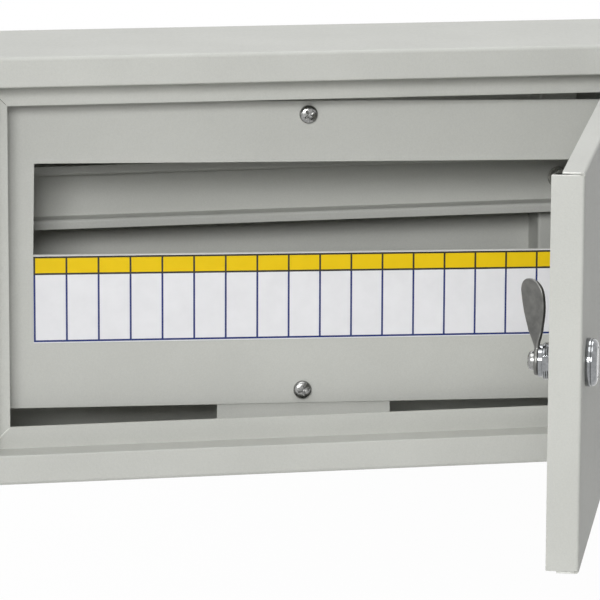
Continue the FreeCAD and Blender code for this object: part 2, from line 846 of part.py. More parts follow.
def cam_lever():
    """The tongue: a hub with a square hole, a twisted neck and a spoon-shaped blade."""
    seat = lever_seat_y
    reach = lever_hub_radius + 1
    hub = rod_y(lock_x, lock_z, lever_hub_radius, seat, seat + lever_sheet)
    hub = hub.common(block(lock_x - reach, lock_x + reach, seat - 1, seat + lever_sheet + 1,
                           lock_z - reach, lock_z + lever_neck_at))
    twist = Part.makeLoft([neck_section(step / neck_steps) for step in range(neck_steps + 1)], True, True)
    lever = hub.fuse([twist, lever_blade()]).removeSplitter()
    half = core_tang / 2 + lever_tang_clearance
    return opened(lever.cut(block(lock_x - half, lock_x + half, seat - 1, seat + lever_sheet + 1,
                                  lock_z - half, lock_z + half)))


def cam_screw():
    """The screw that holds the lever on the core, with a cross recess."""
    seat = lever_seat_y + lever_sheet
    top = seat + cam_screw_head_height
    screw = turned_y(lock_x, lock_z, [
        (0, seat - cam_screw_depth),
        (cam_screw_radius, seat - cam_screw_depth),
        (cam_screw_radius, seat),
        (cam_screw_head_radius, seat),
        (cam_screw_head_radius, top - cam_screw_head_height * 0.4),
        (cam_screw_head_radius * 0.65, top),
        (0, top),
    ])
    return opened(screw.cut(cross_recess(lock_x, lock_z, top - cross_depth)))


def build():
    """Every node and its solid or group of solids."""
    return {
        "case_shell": case_shell(),
        "back_panel": back_panel(),
        "upper_hinge_pin": upper_hinge_pin(),
        "lower_hinge_pin": mirrored_down(upper_hinge_pin()),
        "upper_hinge_spacer": upper_hinge_spacer(),
        "lower_hinge_spacer": mirrored_down(upper_hinge_spacer()),
        "fascia_panel": fascia_panel(),
        "label_strip": label_strip(),
        "fascia_screws": fascia_screws(),
        "upper_fascia_bracket": upper_fascia_bracket(),
        "lower_fascia_bracket": lower_fascia_bracket(),
        "fascia_weld_nuts": fascia_weld_nuts(),
        "din_rail": din_rail(),
        "left_rail_bracket": rail_bracket(-1),
        "right_rail_bracket": rail_bracket(1),
        "rail_studs": rail_studs(),
        "rail_washers": rail_washers(),
        "rail_nuts": rail_nuts(),
        "earth_bar": earth_bar(),
        "earth_bar_posts": earth_bar_posts(),
        "bar_clamp_screws": bar_clamp_screws(),
        "bar_fixing_screws": bar_fixing_screws(),
        "earth_stud": earth_stud(),
        "earth_stud_washer": m6_washer(earth_stud_x, earth_stud_z, panel_y),
        "earth_stud_nut": m6_nut(earth_stud_x, earth_stud_z, panel_y - m6_washer_thickness),
        "door_panel": door_panel(),
        "lock_housing": lock_housing(),
        "lock_washer": lock_washer(),
        "lock_nut": lock_nut(),
        "lock_core": lock_core(),
        "stop_ring": stop_ring(),
        "cam_lever": cam_lever(),
        "cam_screw": cam_screw(),
    }


for node, shape in build().items():
    shape.exportStep("parts/" + node + ".step")
    print(node, len(shape.Solids), "solids, volume", round(shape.Volume, 2), "valid", shape.isValid())

pins = opened(Part.Vertex(lock_x, front_y, lock_z)).Point
print("hinge axis", hinge_x, hinge_y, "lock axis", pins.x, pins.y, pins.z)
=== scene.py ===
"""The looks of a steel wall enclosure for modular devices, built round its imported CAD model."""

import json
import math

import bmesh
import bpy
import numpy as np
from bpy.props import FloatProperty, FloatVectorProperty, IntProperty, PointerProperty
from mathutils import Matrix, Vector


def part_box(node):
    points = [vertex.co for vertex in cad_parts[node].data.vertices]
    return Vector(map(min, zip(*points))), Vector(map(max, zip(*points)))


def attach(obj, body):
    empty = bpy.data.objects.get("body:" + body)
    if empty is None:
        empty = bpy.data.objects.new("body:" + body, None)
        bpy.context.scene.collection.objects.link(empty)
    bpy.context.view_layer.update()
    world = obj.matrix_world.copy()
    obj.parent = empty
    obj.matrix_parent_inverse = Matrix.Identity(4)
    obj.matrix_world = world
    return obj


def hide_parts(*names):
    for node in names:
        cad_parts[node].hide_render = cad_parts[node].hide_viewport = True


bl_info = {
    "name": "Steel wall enclosure",
    "version": (1, 0, 0),
    "blender": (4, 5, 0),
    "location": "3D View > Sidebar > Enclosure",
    "description": "Builds the visible pieces, finishes and studio of a steel wall enclosure",
    "category": "Object",
}

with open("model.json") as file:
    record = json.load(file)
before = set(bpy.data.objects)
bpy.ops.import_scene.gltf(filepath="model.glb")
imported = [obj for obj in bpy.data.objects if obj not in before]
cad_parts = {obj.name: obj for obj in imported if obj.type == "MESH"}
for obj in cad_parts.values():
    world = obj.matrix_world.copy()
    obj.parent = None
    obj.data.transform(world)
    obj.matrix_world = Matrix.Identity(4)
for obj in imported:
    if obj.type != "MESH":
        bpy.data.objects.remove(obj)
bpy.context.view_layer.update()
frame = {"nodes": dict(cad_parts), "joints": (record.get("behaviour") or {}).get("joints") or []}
MM = 0.001
UP = np.array([0.0, 0.0, 1.0])
LOCK_JOINT = next(joint for joint in frame["joints"] if joint["name"] == "cam_turn")

SHEET_NODES = (
    "case_shell", "back_panel", "fascia_panel", "upper_fascia_bracket", "lower_fascia_bracket",
    "din_rail", "left_rail_bracket", "right_rail_bracket", "door_panel",
)
ZINC_NODES = (
    "upper_hinge_pin", "lower_hinge_pin", "upper_hinge_spacer", "lower_hinge_spacer", "fascia_weld_nuts",
    "earth_bar_posts", "bar_clamp_screws", "bar_fixing_screws", "earth_stud", "earth_stud_washer",
    "earth_stud_nut", "lock_washer",
)
CHROME_NODES = ("lock_core", "stop_ring")

# Sockets of a Mix node that mixes two colours
FACTOR, FIRST_COLOUR, SECOND_COLOUR, MIXED_COLOUR = 0, 6, 7, 2
# Nearly all values of a noise lie between these
NOISE_LOW, NOISE_HIGH = 0.3, 0.7
# In metres: points of a new piece that are nearer than this are merged, and shorter edges dissolved
MERGE_DISTANCE, LEAST_EDGE = 2e-7, 1e-7

# Each softbox: where it hangs, then its width and height. Its power is a setting of the same name.
SOFTBOXES = {
    "front_left": ((-0.93, -2.44, 0.80), (0.9, 0.6)),
    "front": ((-0.41, -2.49, 1.06), (0.8, 0.6)),
    "upper_left": ((-0.50, -0.60, 1.50), (0.8, 0.8)),
    "door": ((0.15, -0.80, 1.40), (0.7, 0.7)),
    "rear_top": ((0.30, 0.40, 1.70), (1.0, 1.0)),
    "back": ((-0.70, 2.30, -0.10), (1.4, 0.6)),
}
SOFTBOX_AIM = (0.0, -0.15, 0.0)


def linear(hex_colour):
    """An sRGB hex colour as linear red, green, blue and an alpha of one."""
    channels = [int(hex_colour[start:start + 2], 16) / 255 for start in (1, 3, 5)]
    values = [c / 12.92 if c <= 0.04045 else ((c + 0.055) / 1.055) ** 2.4 for c in channels]
    return (*values, 1.0)


def shades(dark, light):
    """Two sRGB hex colours as a linear pair."""
    return linear(dark), linear(light)


def fill_sockets(tree, node, inputs):
    """Set each named or numbered input of a node, or link it where its value is another node's output."""
    for key, value in inputs.items():
        if isinstance(value, bpy.types.NodeSocket):
            tree.links.new(value, node.inputs[key])
        else:
            node.inputs[key].default_value = value


def add_node(tree, kind, inputs=None, **settings):
    """Add a node, set its properties, and set or link its inputs."""
    node = tree.nodes.new(kind)
    for key, value in settings.items():
        setattr(node, key, value)
    fill_sockets(tree, node, inputs or {})
    return node


def new_material(name):
    """A material of a name, its node tree and its Principled shader."""
    material = bpy.data.materials.new(name)
    material.use_nodes = True
    return material, material.node_tree, material.node_tree.nodes["Principled BSDF"]


def powder_coat(look):
    """Polyester powder coat, baked on sheet steel. Its soft orange peel breaks up every highlight.

    The tone follows a grain 2.6 times as fine as the peel, together with a drift 60 mm wide.
    """
    finer, shallower, drift_width = 2.6, 0.35, 60 * MM
    sum_low, sum_high = 0.72, 1.28
    material, tree, shader = new_material("polyester_powder_coat")
    place = add_node(tree, "ShaderNodeTexCoord").outputs["Object"]
    peel = add_node(tree, "ShaderNodeTexNoise", {"Vector": place, "Scale": 1 / look.peel, "Detail": 1.5})
    grain = add_node(tree, "ShaderNodeTexNoise", {
        "Vector": place, "Scale": finer / look.peel, "Detail": 2.0,
    })
    drift = add_node(tree, "ShaderNodeTexNoise", {"Vector": place, "Scale": 1 / drift_width, "Detail": 2.0})
    soft = add_node(tree, "ShaderNodeBump", {"Height": peel.outputs["Fac"], "Distance": look.peel_depth})
    fine = add_node(tree, "ShaderNodeBump", {
        "Height": grain.outputs["Fac"], "Distance": look.peel_depth * shallower,
        "Normal": soft.outputs["Normal"],
    })
    both = add_node(tree, "ShaderNodeMath", {
        0: grain.outputs["Fac"], 1: drift.outputs["Fac"],
    }, operation="ADD")
    share = add_node(tree, "ShaderNodeMapRange", {
        "Value": both.outputs[0], "From Min": sum_low, "From Max": sum_high,
    })
    tint = add_node(tree, "ShaderNodeMix", {
        FACTOR: share.outputs["Result"],
        FIRST_COLOUR: tuple(look.coat_shade), SECOND_COLOUR: tuple(look.coat_colour),
    }, data_type="RGBA")
    roughness = add_node(tree, "ShaderNodeMapRange", {
        "Value": peel.outputs["Fac"], "From Min": NOISE_LOW, "From Max": NOISE_HIGH,
        "To Min": 0.44, "To Max": 0.54,
    })
    fill_sockets(tree, shader, {
        "Base Color": tint.outputs[MIXED_COLOUR], "Roughness": roughness.outputs["Result"],
        "Normal": fine.outputs["Normal"], "Specular IOR Level": 0.3,
    })
    return material


def clouded_finish(name, metallic, tones, roughness, cloud, relief, depth,
                   stretch=(1.0, 1.0, 1.0), shine=0.5):
    """A finish whose colour and gloss drift in clouds over a fine relief.

    A noise with blotches as wide as cloud moves the colour between two tones and the roughness
    between two values. A noise as fine as relief, drawn out by stretch, raises the skin by depth.
    """
    material, tree, shader = new_material(name)
    place = add_node(tree, "ShaderNodeTexCoord").outputs["Object"]
    clouds = add_node(tree, "ShaderNodeTexNoise", {
        "Vector": place, "Scale": 1 / cloud, "Detail": 4.0, "Roughness": 0.6,
    })
    drawn = add_node(tree, "ShaderNodeMapping", {"Vector": place, "Scale": stretch})
    skin = add_node(tree, "ShaderNodeTexNoise", {
        "Vector": drawn.outputs[0], "Scale": 1 / relief, "Detail": 2.0,
    })
    share = add_node(tree, "ShaderNodeMapRange", {
        "Value": clouds.outputs["Fac"], "From Min": NOISE_LOW, "From Max": NOISE_HIGH,
    })
    tint = add_node(tree, "ShaderNodeMix", {
        FACTOR: share.outputs["Result"], FIRST_COLOUR: tones[0], SECOND_COLOUR: tones[1],
    }, data_type="RGBA")
    gloss = add_node(tree, "ShaderNodeMapRange", {
        "Value": clouds.outputs["Fac"], "From Min": NOISE_LOW, "From Max": NOISE_HIGH,
        "To Min": roughness[0], "To Max": roughness[1],
    })
    bump = add_node(tree, "ShaderNodeBump", {"Height": skin.outputs["Fac"], "Distance": depth})
    fill_sockets(tree, shader, {
        "Base Color": tint.outputs[MIXED_COLOUR], "Roughness": gloss.outputs["Result"],
        "Normal": bump.outputs["Normal"], "Metallic": metallic, "Specular IOR Level": shine,
    })
    return material


def zinc_plate():
    """Mild steel, barrel plated with zinc. It is grey, faintly blue and cloudy."""
    return clouded_finish("barrel_zinc_plate", metallic=1.0, tones=shades("#9DA0A1", "#C9CBCB"),
                          roughness=(0.26, 0.44), cloud=3.5 * MM, relief=0.5 * MM, depth=0.01 * MM)


def bright_screw():
    """Cold-headed steel with bright zinc. The head is smooth, so it shows sharp light and dark."""
    return clouded_finish("bright_zinc_screw", metallic=1.0, tones=shades("#7C7D7C", "#A8A8A6"),
                          roughness=(0.16, 0.30), cloud=1.2 * MM, relief=0.6 * MM, depth=0.006 * MM)


def chrome_plate():
    """Zinc die casting with bright chrome. It mirrors the studio, with a faint casting ripple.

    Its tones are darker than new chrome's, because the studio that it mirrors is white.
    """
    return clouded_finish("chrome_plated_casting", metallic=1.0, tones=shades("#808284", "#9B9D9F"),
                          roughness=(0.05, 0.13), cloud=2.2 * MM, relief=2.2 * MM, depth=0.012 * MM)


def satin_lever_steel():
    """Stamped steel, tumbled and nickel plated. Its satin skin blurs what it mirrors."""
    return clouded_finish("tumbled_nickel_steel", metallic=1.0, tones=shades("#646462", "#7A7A77"),
                          roughness=(0.38, 0.50), cloud=5.0 * MM, relief=0.35 * MM, depth=0.008 * MM)


def dark_nut_steel():
    """Blackened steel, lightly oiled. It stays dark but for its worn, mottled places."""
    return clouded_finish("blackened_nut_steel", metallic=0.3, tones=shades("#6A6A66", "#C6C6BE"),
                          roughness=(0.42, 0.58), cloud=1.3 * MM, relief=1.3 * MM, depth=0.08 * MM)


def machined_brass():
    """Drawn and milled brass. Fine lines run along it, and it has dulled a little in air."""
    return clouded_finish("milled_brass", metallic=1.0, tones=shades("#B08A45", "#D0AC62"),
                          roughness=(0.22, 0.40), cloud=9.0 * MM, relief=0.3 * MM, depth=0.01 * MM,
                          stretch=(0.04, 1.0, 1.0))


def printed_film(name, ink):
    """Printed vinyl film. It is smooth and satin, with the faintest unevenness of its ink."""
    thinner = 0.95
    thin_ink = (*(thinner * channel for channel in ink[:3]), 1.0)
    return clouded_finish(name, metallic=0.0, tones=(thin_ink, tuple(ink)), roughness=(0.36, 0.42),
                          cloud=12.0 * MM, relief=12.0 * MM, depth=0.04 * MM, shine=0.3)


def bead_coat_with_painted_highlight():
    """Ground weld or cut edge under the coat. Its coat is painted lighter than the sheet's, a painted
    highlight along the bead, with the waves of the bead below it.
    """
    return clouded_finish("painted_weld_bead", metallic=0.0, tones=shades("#D2D3CE", "#E0E1DC"),
                          roughness=(0.36, 0.44), cloud=1.1 * MM, relief=1.1 * MM, depth=0.10 * MM)


def painted_mitre_shade():
    """Painted shade along a closed mitre: a dull dark line in the coat, standing in for the shade where the
    upper flange's mitre edge faces down, away from the light.
    """
    return clouded_finish("shadowed_mitre_gap", metallic=0.0, tones=shades("#5A5A56", "#77776F"),
                          roughness=(0.8, 0.9), cloud=1.5 * MM, relief=1.5 * MM, depth=0.02 * MM, shine=0.1)


def finish_of(name, make, *arguments):
    """The material of a name, made on its first use."""
    return bpy.data.materials.get(name) or make(*arguments)


def corners_of(node):
    """The lowest and the highest corner of a CAD node, as arrays."""
    return [np.array(corner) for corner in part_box(node)]


class Local:
    """A local frame: an origin and three unit vectors."""

    def __init__(self, origin, x_axis, y_axis, z_axis):
        self.origin = np.asarray(origin, float)
        self.axes = np.array([x_axis, y_axis, z_axis], float)

    def place(self, patches):
        """Patches whose grids hold local x, y and z, moved to the part's frame."""
        return [(self.origin + grid @ self.axes, *closed) for grid, *closed in patches]


def facing_front(x, y, z, turn=0.0):
    """The frame of a fastener that faces the front: its z points to -Y, and it is turned about it."""
    c, s = math.cos(turn), math.sin(turn)
    return Local((x, y, z), (c, 0, s), (s, 0, -c), (0, -1, 0))


def lock_frame(depth):
    """The lock's frame at a depth behind the door's face: x to the hinge, y up, z out of the door."""
    outward = np.array(LOCK_JOINT["axis"])
    return Local(np.array(LOCK_JOINT["pos_m"]) - outward * depth, np.cross(UP, outward), UP, outward)


def smooth_step(value):
    """Zero below 0, one above 1, and three squares less two cubes between."""
    value = np.clip(value, 0.0, 1.0)
    return value * value * (3 - 2 * value)


def grid_faces(rows, columns, close_rows=False, close_columns=False, first=0):
    """The quads between neighbours of a grid of points, as an array of four indices each."""
    row = np.arange(rows if close_rows else rows - 1)
    column = np.arange(columns if close_columns else columns - 1)
    r, c = np.meshgrid(row, column, indexing="ij")
    next_r, next_c = (r + 1) % rows, (c + 1) % columns
    corners = [r * columns + c, r * columns + next_c, next_r * columns + next_c, next_r * columns + c]
    return first + np.stack([corner.ravel() for corner in corners], axis=1)


def make_piece(name, patches, materials, body, replaced=(), sharp=math.radians(38)):
    """Join grids of points into one closed mesh that rides on a body.

    Each patch is the grid, whether its rows close and whether its columns close.
    """
    points, faces = [], []
    first = 0
    for grid, close_rows, close_columns in patches:
        rows, columns = grid.shape[:2]
        faces.append(grid_faces(rows, columns, close_rows, close_columns, first))
        points.append(grid.reshape(-1, 3))
        first += rows * columns
    mesh = bpy.data.meshes.new(name)
    mesh.from_pydata(np.concatenate(points).tolist(), [], np.concatenate(faces).tolist())
    work = bmesh.new()
    work.from_mesh(mesh)
    bmesh.ops.remove_doubles(work, verts=work.verts, dist=MERGE_DISTANCE)
    bmesh.ops.dissolve_degenerate(work, dist=LEAST_EDGE, edges=work.edges)
    bmesh.ops.recalc_face_normals(work, faces=work.faces)
    work.to_mesh(mesh)
    work.free()
    mesh.shade_smooth()
    mesh.set_sharp_from_angle(angle=sharp)
    piece = bpy.data.objects.new(name, mesh)
    bpy.context.scene.collection.objects.link(piece)
    for material in materials:
        mesh.materials.append(material)
    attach(piece, body)
    if replaced:
        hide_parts(*replaced)
    return piece


def face_centres(mesh):
    """The middle of each face of a mesh, as rows of x, y and z."""
    centres = np.empty(len(mesh.polygons) * 3)
    mesh.polygons.foreach_get("center", centres)
    return centres.reshape(-1, 3)


def around(count):
    """Angles that part one full turn evenly, as a row."""
    return np.linspace(0, 2 * math.pi, count, endpoint=False)[None, :]


def polar(radius, angle, height):
    """A grid of points about the local z axis: x is r cos a, y is r sin a and z is the height."""
    radius, angle, height = np.broadcast_arrays(radius, angle, height)
    return np.stack([radius * np.cos(angle), radius * np.sin(angle), height], axis=2)


def lathe(profile, count=72):
    """A profile of radius and height carried round the local z axis."""
    radius, height = np.array(profile, float).T
    return polar(radius[:, None], around(count), height[:, None])


def rounded_profile(corners, radius, steps=5):
    """A line through corners with each inner corner replaced by a quadratic curve near it.

    On each side of a corner the curve starts at the radius, or at half of the run if that is less.
    """
    corners = np.array(corners, float)
    line = [corners[0]]
    share = np.linspace(0, 1, steps + 1)[:, None]
    for before, corner, after in zip(corners, corners[1:], corners[2:]):
        back, ahead = before - corner, after - corner
        start = corner + back * min(radius / np.linalg.norm(back), 0.5)
        end = corner + ahead * min(radius / np.linalg.norm(ahead), 0.5)
        line.extend((1 - share) ** 2 * start + 2 * share * (1 - share) * corner + share ** 2 * end)
    line.append(corners[-1])
    return np.array(line)


def screw_head(radius, height, arm, cross, depth, lines=73):
    """A pan head with a cross recess, as a closed surface over a disc.

    A square grid is bent to a disc, with its lines drawn together at the middle. With q the
    distance from the middle as a share, the head's profile is a dome as far as the shoulder and
    then its wall. The recess is the depth times two smooth bars at right angles that grow deeper
    towards the middle.
    """
    shoulder, wall_height, roll, fullness, crowding = 0.86, 0.36, 0.96, 0.8, 1.25
    arm_blend, end_blend, deepest, shallowing = 0.16 * MM, 0.3 * MM, 1.15, 0.8
    side = np.linspace(-1, 1, lines)
    side = np.sign(side) * np.abs(side) ** crowding
    u, v = np.meshgrid(side, side, indexing="ij")
    x, y = u * np.sqrt(1 - v * v / 2), v * np.sqrt(1 - u * u / 2)
    q = np.sqrt(x * x + y * y)
    dome = np.minimum(q / shoulder, 1.0)
    wall = np.clip((q - shoulder) / (1 - shoulder), 0.0, 1.0)
    r = radius * np.sin(dome * math.pi / 2 * roll) / math.sin(math.pi / 2 * roll)
    z = height * (wall_height + (1 - wall_height) * np.cos(dome * math.pi / 2) ** fullness) * (1 - wall)
    unit = np.where(q > 0, q, 1)
    x, y = r * x / unit, r * y / unit

    def bar(across, along):
        """One arm of the recess: one inside it, and zero beyond its blends."""
        inside = 1 - smooth_step((np.abs(across) - arm / 2) / arm_blend + 0.5)
        return inside * (1 - smooth_step((np.abs(along) - cross / 2) / end_blend + 0.5))

    recess = np.maximum(bar(x, y), bar(y, x)) * depth
    recess = recess * (deepest - shallowing * np.hypot(x, y) / cross)
    top = np.stack([x, y, z - recess], axis=2)
    seat = np.stack([x, y, np.zeros_like(z)], axis=2)
    return [(top, False, False), (seat[:, ::-1], False, False)]


def thread_wave(height, angle, pitch):
    """How deep a point lies in a thread: zero on its crest, one at its root, a pitch higher each turn."""
    return np.abs(((height / pitch - angle / (2 * math.pi)) % 1.0) * 2 - 1)


def threaded_rod(radius, pitch, low, high, count=40, steps=6):
    """A rod with a helical thread and flat ends.

    The radius falls by 0.3 pitch with the thread's wave, and by 0.15 pitch more at the high end.
    """
    thread_depth, end_depth = 0.3, 0.15
    rows = int((high - low) / pitch * steps) + 2
    height = np.linspace(low, high, rows)[:, None]
    angle = around(count)
    fade = smooth_step((high - height) / pitch)
    r = (radius - thread_depth * pitch * thread_wave(height, angle, pitch)
         - (1 - fade) * end_depth * pitch)
    body = polar(r, angle, height)
    low_cap = np.zeros_like(body[:1]) + (0, 0, low)
    high_cap = np.zeros_like(body[:1]) + (0, 0, high)
    return [(np.concatenate([low_cap, body, high_cap]), False, True)]


def round_rod(radius, low, high, steps=6, count=20):
    """A smooth rod along the local z axis, whose ends are a quarter circle turned round it."""
    turn = np.linspace(0, math.pi / 2, steps)
    cap = np.stack([radius * np.sin(turn), radius * (1 - np.cos(turn))], axis=1)
    return lathe(np.concatenate([cap + (0, low), cap[::-1] * (1, -1) + (0, high)]), count)


def hex_nut(width, bore, height, count=120):
    """A chamfered hexagon nut with a bore, as a ring.

    Its outer radius is the hexagon's, half the width over the cosine of the turn from a flat's
    middle, cut to a 30 degree cone at each end. Its inner radius is the bore with a countersink.
    """
    sink, chamfer_start = 0.5 * MM, 0.97
    cone_slope = math.tan(math.radians(60))
    angle = around(count)
    turn = (angle + math.pi / 6) % (math.pi / 3) - math.pi / 6
    hexagon = (width / 2) / np.cos(turn)
    near_end = np.linspace(0.02, 0.22, 6)
    heights = np.concatenate([[0], near_end, [0.5], 1 - near_end[::-1], [1]]) * height
    end = np.minimum(heights, height - heights)
    cone = width / 2 * chamfer_start + end * cone_slope
    outer = np.minimum(hexagon, cone[:, None])
    bore_line = np.array([(bore + sink, height), (bore, height - sink), (bore, sink), (bore + sink, 0)])
    radius = np.concatenate([outer, np.repeat(bore_line[:, :1], count, axis=1)])
    z = np.concatenate([heights, bore_line[:, 1]])[:, None]
    return [(polar(radius, angle, z), True, True)]


def plain_washer(outer, inner, thickness):
    """A flat ring with softly bevelled edges, as a closed profile carried round its axis."""
    bevel = thickness * 0.22
    half = [(inner, bevel), (inner + bevel, 0), (outer - bevel, 0), (outer, bevel)]
    return [(lathe(half + [(radius, thickness - height) for radius, height in reversed(half)]), True, True)]


def raised(patches, height):
    """The same patches, moved along the local z axis."""
    return [(grid + (0, 0, height), *closed) for grid, *closed in patches]


def half_round_bead(start, end, width, height, face, rng):
    """A bead on a face that looks to -Y, from one x and z to another, as a front and a back grid.

    Across its run it rises as a sine. Along it the rise swells in waves with a little chance in
    them, and fades at both ends as a square root. The width follows the rise, but less.
    """
    sunk, waves, wave, chance, fade_rate = 0.05 * MM, 11, 0.18, 0.1, 14
    rows, columns = 90, 9
    along = np.linspace(0, 1, rows)[:, None]
    across = np.linspace(0, math.pi, columns)[None, :]
    run = (end - start) / np.linalg.norm(end - start)
    swell = 1 + wave * np.sin(along * 2 * math.pi * waves + rng.uniform(0, 6))
    swell = swell + chance * rng.normal(size=along.shape)
    fade = np.sqrt(np.clip(np.minimum(along, 1 - along) * fade_rate, 0, 1))
    reach = width / 2 * (0.8 + 0.2 * swell) * (0.4 + 0.6 * fade)
    rise = height * swell * fade
    x = start[0] + (end[0] - start[0]) * along - run[1] * reach * np.cos(across)
    z = start[1] + (end[1] - start[1]) * along + run[0] * reach * np.cos(across)
    y = face + sunk - (sunk + rise) * np.sin(across)
    under = np.stack([x, np.full_like(x, face + sunk), z], axis=2)
    return [(np.stack([x, y, z], axis=2), False, False), (under[:, ::-1], False, False)]


def lever_outline(look):
    """The lever's outline as rows of x and height, up from the hub's foot to the tip and down again.

    Up to the neck it is the hub's circle, then it swells as two smooth steps. From its widest
    place to the tip it is a squarish ellipse: one less a power of the share, to another power.
    """
    first_swell, second_swell, swell_run = 7 * MM, 13 * MM, 18 * MM
    blend, tip_power, side_power = 8, 2.2, 0.45
    hub_points, blade_points, tip_points = 22, 84, 30
    heights = np.concatenate([
        -look.hub * np.cos(np.linspace(0, math.pi / 2, hub_points)),
        np.linspace(0, look.widest, blade_points)[1:-1],
        look.widest + (look.lever - look.widest) * np.sin(np.linspace(0, math.pi / 2, tip_points)),
    ])
    hub = np.sqrt(np.clip(look.hub ** 2 - heights ** 2, 0, None))
    swell = (0.6 * smooth_step((heights - first_swell) / swell_run)
             + 0.4 * smooth_step((heights - second_swell) / swell_run))
    stem = (look.neck + (look.blade - look.neck) * swell) / 2
    stem = np.where(heights > 0, stem, 0)
    tip = np.clip((heights - look.widest) / (look.lever - look.widest), 0, 1)
    half = (hub ** blend + stem ** blend) ** (1 / blend) * (1 - tip ** tip_power) ** side_power
    return np.stack([
        np.concatenate([half, -half[-2:0:-1]]),
        np.concatenate([heights, heights[-2:0:-1]]),
    ], axis=1)


def length(name, description, default, low=0.0):
    """A length in metres that a user can change."""
    return FloatProperty(name=name, description=description, default=default, min=low, unit="LENGTH")


def turned(name, description, degrees):
    """An angle that a user can change."""
    return FloatProperty(name=name, description=description, default=math.radians(degrees), subtype="ANGLE")


def power(name, description, default):
    """A lamp's power in watts that a user can change."""
    return FloatProperty(name=name, description=description, default=default, min=0, unit="POWER")


def colour(name, description, hex_colour):
    """A colour that a user can change, with its alpha."""
    return FloatVectorProperty(name=name, description=description, default=linear(hex_colour), size=4,
                               min=0, max=1, subtype="COLOR")


class SheetLook(bpy.types.PropertyGroup):
    """The painted sheet steel."""

    coat_colour: colour("Coat colour", "Light tone of the powder coat", "#C2C3BE")
    coat_shade: colour("Coat shade", "Dark tone of the powder coat", "#BBBCB7")
    peel: length("Peel size", "Spacing of the orange peel", 1.9 * MM, 0.2 * MM)
    peel_depth: length("Peel depth", "Depth of the orange peel", 0.055 * MM)
    rim: length("Rim", "Width of the case's front rim", 16.2 * MM)
    recess: length("Recess", "Depth of the flange behind the rim", 17.5 * MM)
    flange: length("Flange", "Width of the flange round the opening", 11.85 * MM)
    seam_width: length("Seam width", "Width of a lower mitre's weld bead", 0.8 * MM)
    seam_height: length("Seam height", "Height of a lower mitre's weld bead", 0.14 * MM)
    # The upper mitres' line is painted shade: a dark coat where the upper flange's mitre edge lies in shade.
    shade_line_width: length("Gap width", "Width of an upper mitre's unfilled line", 0.45 * MM)
    shade_line_height: length("Gap height", "Height of an upper mitre's unfilled line", 0.02 * MM)
    free_edge: length("Free edge", "Distance from the lock's axis to the door's free edge", 29 * MM)
    free_flange: length("Free flange", "Depth of the flange on the door's free edge", 15.6 * MM)
    edge_flange: length("Edge flange", "Depth of the flange on the door's other edges", 10.6 * MM)
    corner: length("Corner", "Distance from the free edge to the end of the upper and lower flange", 1.5 * MM)


class CoverLook(bpy.types.PropertyGroup):
    """The inner cover's label strip and screws."""

    lean: turned("Lean", "How far the cover hangs askew", 1.07)
    cells: IntProperty(name="Cells", description="Number of device places on the strip", default=17, min=1)
    module: length("Module", "Width of one device place", 17.5 * MM)
    line: length("Line", "Width of the printed lines", 1.05 * MM)
    band: length("Band", "Height of the coloured band, between its lines' middles", 9.13 * MM)
    top_margin: length("Top margin", "Film above the upper line", 0.3 * MM)
    bottom_margin: length("Bottom margin", "Film below the lower line", 0.5 * MM)
    side_margin: length("Side margin", "Film outside the middle of the outermost line", 0.55 * MM)
    film_colour: colour("Film", "Colour of the blank cells", "#E6E6E9")
    band_colour: colour("Band colour", "Colour of the band above the cells", "#E9C505")
    ink_colour: colour("Line colour", "Colour of the lines printed on white", "#22326F")
    overprint_colour: colour("Overprint colour", "Colour of the lines printed over the band", "#34322A")
    head: length("Screw head", "Radius of a cover screw's head", 5.0 * MM)
    head_height: length("Head height", "Height of a cover screw's head", 3.3 * MM)


class LockLook(bpy.types.PropertyGroup):
    """The cam lock in the door."""

    bezel: length("Bezel", "Radius of the bezel", 11.5 * MM)
    bezel_height: length("Bezel height", "Height of the bezel above the door", 5.6 * MM)
    bezel_face: length("Bezel face", "Radius at which the bezel's dome starts", 8.4 * MM)
    barrel: length("Barrel", "Radius of the threaded barrel", 8.8 * MM)
    barrel_length: length("Barrel length", "Reach of the barrel behind the door's face", 20.4 * MM)
    flats: length("Flats", "Width of the barrel over its two flats", 15.6 * MM)
    bore: length("Bore", "Radius of the hole for the core", 5.65 * MM)
    lever_seat: length("Lever seat", "Depth of the lever's back behind the door's face", 22.3 * MM)
    lever_sheet: length("Lever sheet", "Thickness of the lever", 2.2 * MM)
    hub: length("Hub", "Radius of the lever's hub", 7.0 * MM)
    neck: length("Neck", "Width of the lever's neck", 7.3 * MM)
    blade: length("Blade", "Greatest width of the lever's blade", 14.5 * MM)
    widest: length("Widest", "Height of the blade's widest place above the axis", 31.5 * MM)
    lever: length("Lever", "Length of the lever above its axis", 39.2 * MM)
    twist: turned("Twist", "Turn of the blade against the hub", 50)
    twist_from: length("Twist from", "Height at which the twist starts", 4.8 * MM)
    twist_to: length("Twist to", "Height at which the twist ends", 14.4 * MM)
    lean: FloatProperty(name="Lean", description="How far the blade leans away, as a share of its height",
                        default=0.07)
    curl: length("Curl", "How far the tip curls away beyond the lean", 0.8 * MM)
    curl_from: length("Curl from", "Height at which the curl starts", 24 * MM)


